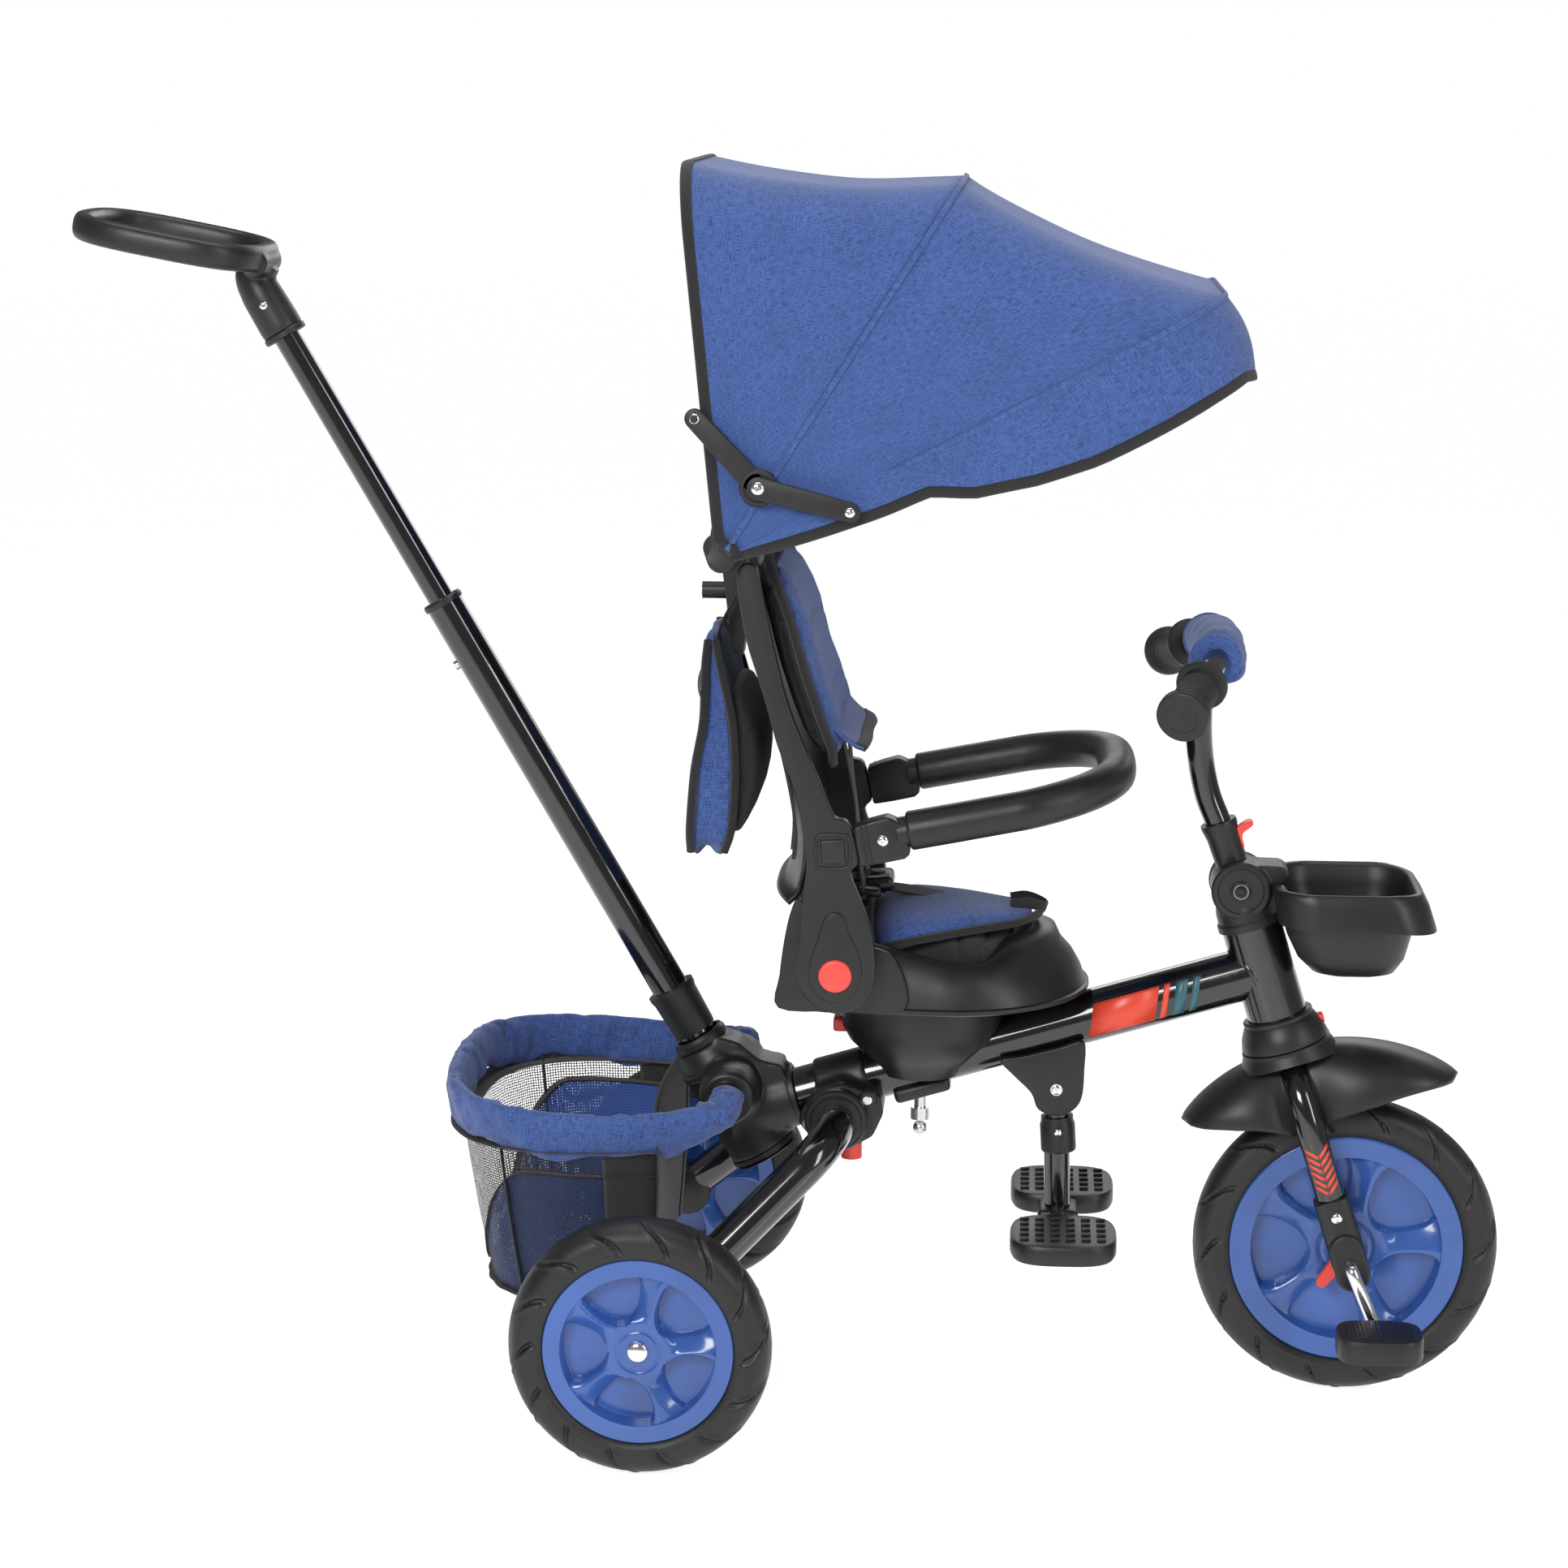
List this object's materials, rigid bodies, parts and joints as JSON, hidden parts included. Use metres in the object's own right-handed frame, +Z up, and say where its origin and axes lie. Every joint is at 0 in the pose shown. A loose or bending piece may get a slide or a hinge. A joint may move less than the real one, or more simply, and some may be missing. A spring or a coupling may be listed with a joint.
{
  "type": "children's tricycle",
  "caption": "Push-along children's tricycle with a steering pole, swivel seat, safety bumper, folding canopy, folding footrest, baskets and folding rear legs.",
  "frame": {"origin": "on the ground, under the middle of the whole object's box, in the plane of symmetry", "axes": "+X forwards, along the direction of travel; +Y to the rider's left; +Z up"},
  "size_m": [1.1762, 0.492, 1.0266],
  "materials": {
    "gloss_black_tube": "gloss",
    "matte_black_plastic": "fine satin grain",
    "red_plastic": "satin",
    "zinc_screw": "bright",
    "foam_tyre": "matt foam",
    "blue_rim": "gloss",
    "blue_fabric": "melange weave",
    "black_foam": "matt foam",
    "black_wire": "satin",
    "black_link": "satin"
  },
  "bodies": {
    "frame": {"main_frame": "gloss_black_tube", "rear_housing": "matte_black_plastic", "frame_screws": "zinc_screw", "leg_clamp": "matte_black_plastic", "head_collar": "matte_black_plastic", "footrest_bracket": "matte_black_plastic", "swivel_base": "matte_black_plastic", "rear_basket": "blue_fabric"},
    "steering_lock_button": {"steering_lock_button": "red_plastic"},
    "leg_release_button": {"leg_release_button": "red_plastic"},
    "swivel_lever": {"swivel_lever": "red_plastic"},
    "push_pole": {"lower_pole": "gloss_black_tube", "pole_fittings": "matte_black_plastic"},
    "pole_lock_button": {"pole_lock_button": "zinc_screw"},
    "push_upper": {"upper_pole": "gloss_black_tube", "push_handle": "matte_black_plastic"},
    "rear_legs": {"rear_legs": "gloss_black_tube"},
    "rear_wheel_right": {"rear_tyre_right": "foam_tyre", "rear_rim_right": "blue_rim"},
    "rear_wheel_left": {"rear_tyre_left": "foam_tyre", "rear_rim_left": "blue_rim"},
    "fork": {"fork": "gloss_black_tube", "crown_cover": "matte_black_plastic", "fender": "matte_black_plastic", "fork_ends": "matte_black_plastic", "knuckle_base": "matte_black_plastic", "front_basket": "matte_black_plastic", "fork_screws": "zinc_screw"},
    "handlebar": {"stem_sleeve": "matte_black_plastic", "handlebar": "gloss_black_tube", "handlebar_grips": "matte_black_plastic", "handlebar_pad": "blue_fabric"},
    "handlebar_lever": {"handlebar_lever": "red_plastic"},
    "front_wheel": {"front_tyre": "foam_tyre", "front_rim": "blue_rim"},
    "clutch_lever": {"clutch_lever": "red_plastic"},
    "cranks": {"cranks": "zinc_screw"},
    "pedal_right": {"pedal_right": "matte_black_plastic"},
    "pedal_left": {"pedal_left": "matte_black_plastic"},
    "footrest": {"footrest_post": "gloss_black_tube"},
    "footrest_sleeve": {"footrest_sleeve": "matte_black_plastic"},
    "foot_peg_right": {"foot_peg_right": "matte_black_plastic"},
    "foot_peg_left": {"foot_peg_left": "matte_black_plastic"},
    "seat": {"seat_shell": "matte_black_plastic", "seat_cushion": "blue_fabric"},
    "backrest": {"backrest_frame": "matte_black_plastic", "back_cushion": "blue_fabric", "storage_bag": "blue_fabric", "canopy_mount": "matte_black_plastic", "canopy_rear_cover": "blue_fabric"},
    "recline_button_right": {"recline_button_right": "red_plastic"},
    "recline_button_left": {"recline_button_left": "red_plastic"},
    "bumper": {"bumper_bar": "black_foam"},
    "bumper_button_right": {"bumper_button_right": "matte_black_plastic"},
    "bumper_button_left": {"bumper_button_left": "matte_black_plastic"},
    "canopy_mid": {"canopy_mid_bow": "black_wire"},
    "canopy_front": {"canopy_front_bow": "black_wire", "canopy_front_cover": "blue_fabric"},
    "canopy_rear_link": {"canopy_rear_link": "black_link"},
    "canopy_front_link": {"canopy_front_link": "black_link"}
  },
  "joints": [
    {"name": "steering_lock_press", "type": "slide", "parent": "frame", "child": "steering_lock_button", "axis": [-0.9548, 0, -0.2974], "range_m": [0, 0.0025], "stiffness_N_per_m": 400},
    {"name": "leg_release_press", "type": "slide", "parent": "frame", "child": "leg_release_button", "axis": [0, 0, 1], "range_m": [0, 0.003], "stiffness_N_per_m": 400},
    {"name": "swivel_lever_press", "type": "slide", "parent": "frame", "child": "swivel_lever", "axis": [1, 0, 0], "range_m": [0, 0.003], "stiffness_N_per_m": 400},
    {"name": "steering", "type": "hinge", "parent": "frame", "child": "fork", "pos_m": [0.46113, 0, 0.127], "axis": [-0.2974, 0, 0.9548], "range_deg": [-35, 35]},
    {"name": "pole_steering", "type": "hinge", "parent": "frame", "child": "push_pole", "pos_m": [-0.08887, 0, 0.305], "axis": [-0.497, 0, 0.8678], "range_deg": [-35, 35]},
    {"name": "pole_lock_press", "type": "slide", "parent": "push_pole", "child": "pole_lock_button", "axis": [0.8678, 0, 0.497], "range_m": [0, 0.0025], "stiffness_N_per_m": 400},
    {"name": "pole_height", "type": "slide", "parent": "push_pole", "child": "push_upper", "axis": [-0.497, 0, 0.8678], "range_m": [-0.2, 0]},
    {"name": "rear_leg_fold", "type": "hinge", "parent": "frame", "child": "rear_legs", "pos_m": [0.03513, 0, 0.241], "axis": [0, 1, 0], "range_deg": [-105, 0]},
    {"name": "rear_wheel_right_spin", "type": "hinge", "parent": "rear_legs", "child": "rear_wheel_right", "pos_m": [-0.11087, -0.224, 0.105], "axis": [0, 1, 0], "continuous": true},
    {"name": "rear_wheel_left_spin", "type": "hinge", "parent": "rear_legs", "child": "rear_wheel_left", "pos_m": [-0.11087, 0.224, 0.105], "axis": [0, 1, 0], "continuous": true},
    {"name": "handlebar_tilt", "type": "hinge", "parent": "fork", "child": "handlebar", "pos_m": [0.36552, 0, 0.43396], "axis": [0, 1, 0], "range_deg": [0, 40]},
    {"name": "handlebar_lever_pull", "type": "hinge", "parent": "handlebar", "child": "handlebar_lever", "pos_m": [0.36383, 0, 0.48], "axis": [0, -1, 0], "range_deg": [0, 12], "stiffness_Nm_per_rad": 0.05},
    {"name": "front_wheel_spin", "type": "hinge", "parent": "fork", "child": "front_wheel", "pos_m": [0.46113, 0, 0.127], "axis": [0, 1, 0], "continuous": true},
    {"name": "clutch_lever_turn", "type": "hinge", "parent": "front_wheel", "child": "clutch_lever", "pos_m": [0.46113, 0, 0.127], "axis": [0, -1, 0], "range_deg": [0, 45]},
    {"name": "crank_spin", "type": "hinge", "parent": "fork", "child": "cranks", "pos_m": [0.46113, 0, 0.127], "axis": [0, 1, 0], "continuous": true},
    {"name": "pedal_right_spin", "type": "hinge", "parent": "cranks", "child": "pedal_right", "pos_m": [0.48145, -0.112, 0.07913], "axis": [0, 1, 0], "continuous": true},
    {"name": "pedal_left_spin", "type": "hinge", "parent": "cranks", "child": "pedal_left", "pos_m": [0.44081, 0.112, 0.17487], "axis": [0, 1, 0], "continuous": true},
    {"name": "footrest_fold", "type": "hinge", "parent": "frame", "child": "footrest", "pos_m": [0.21713, 0, 0.263], "axis": [0, 1, 0], "range_deg": [0, 45]},
    {"name": "footrest_sleeve_pull", "type": "slide", "parent": "footrest", "child": "footrest_sleeve", "axis": [0.0244, 0, -0.9997], "range_m": [0, 0.012], "stiffness_N_per_m": 150, "springref_m": -0.004},
    {"name": "foot_peg_right_fold", "type": "hinge", "parent": "footrest", "child": "foot_peg_right", "pos_m": [0.22013, -0.024, 0.148], "axis": [-1, 0, 0], "range_deg": [0, 90]},
    {"name": "foot_peg_left_fold", "type": "hinge", "parent": "footrest", "child": "foot_peg_left", "pos_m": [0.22013, 0.024, 0.148], "axis": [1, 0, 0], "range_deg": [0, 90]},
    {"name": "seat_swivel", "type": "hinge", "parent": "frame", "child": "seat", "pos_m": [0.10313, 0, 0.348], "axis": [0, 0, 1], "range_deg": [0, 180]},
    {"name": "backrest_recline", "type": "hinge", "parent": "seat", "child": "backrest", "pos_m": [0.03813, 0, 0.385], "axis": [0, -1, 0], "range_deg": [0, 18]},
    {"name": "recline_button_right_press", "type": "slide", "parent": "backrest", "child": "recline_button_right", "axis": [0, 1, 0], "range_m": [0, 0.003], "stiffness_N_per_m": 400},
    {"name": "recline_button_left_press", "type": "slide", "parent": "backrest", "child": "recline_button_left", "axis": [0, -1, 0], "range_m": [0, 0.003], "stiffness_N_per_m": 400},
    {"name": "bumper_lift", "type": "hinge", "parent": "backrest", "child": "bumper", "pos_m": [0.07563, 0, 0.496], "axis": [0, -1, 0], "range_deg": [0, 70]},
    {"name": "bumper_button_right_press", "type": "slide", "parent": "backrest", "child": "bumper_button_right", "axis": [0, 1, 0], "range_m": [0, 0.001], "stiffness_N_per_m": 400},
    {"name": "bumper_button_left_press", "type": "slide", "parent": "backrest", "child": "bumper_button_left", "axis": [0, -1, 0], "range_m": [0, 0.001], "stiffness_N_per_m": 400},
    {"name": "canopy_fold", "type": "hinge", "parent": "backrest", "child": "canopy_mid", "pos_m": [-0.05087, 0, 0.722], "axis": [0, -1, 0], "range_deg": [0, 34], "deforming": ["canopy_rear_cover"]},
    {"name": "canopy_front_fold", "type": "hinge", "parent": "canopy_mid", "child": "canopy_front", "pos_m": [-0.05087, 0, 0.722], "axis": [0, -1, 0], "range_deg": [0, 26], "deforming": ["canopy_front_cover"]},
    {"name": "canopy_rear_link_turn", "type": "hinge", "parent": "backrest", "child": "canopy_rear_link", "pos_m": [-0.06987, 0, 0.832], "axis": [0, -1, 0], "range_deg": [-28.8, 0]},
    {"name": "canopy_front_link_turn", "type": "hinge", "parent": "canopy_rear_link", "child": "canopy_front_link", "pos_m": [-0.02087, 0, 0.779], "axis": [0, -1, 0], "range_deg": [0, 118.7]}
  ],
  "couplings": [
    {"joint": "pole_steering", "follows": "steering", "ratio": 1},
    {"joint": "crank_spin", "follows": "front_wheel_spin", "ratio": 1},
    {"joint": "canopy_front_fold", "follows": "canopy_fold", "ratio": 0.7647},
    {"joint": "canopy_rear_link_turn", "follows": "canopy_fold", "ratio": -0.847},
    {"joint": "canopy_front_link_turn", "follows": "canopy_fold", "ratio": 3.49}
  ]
}
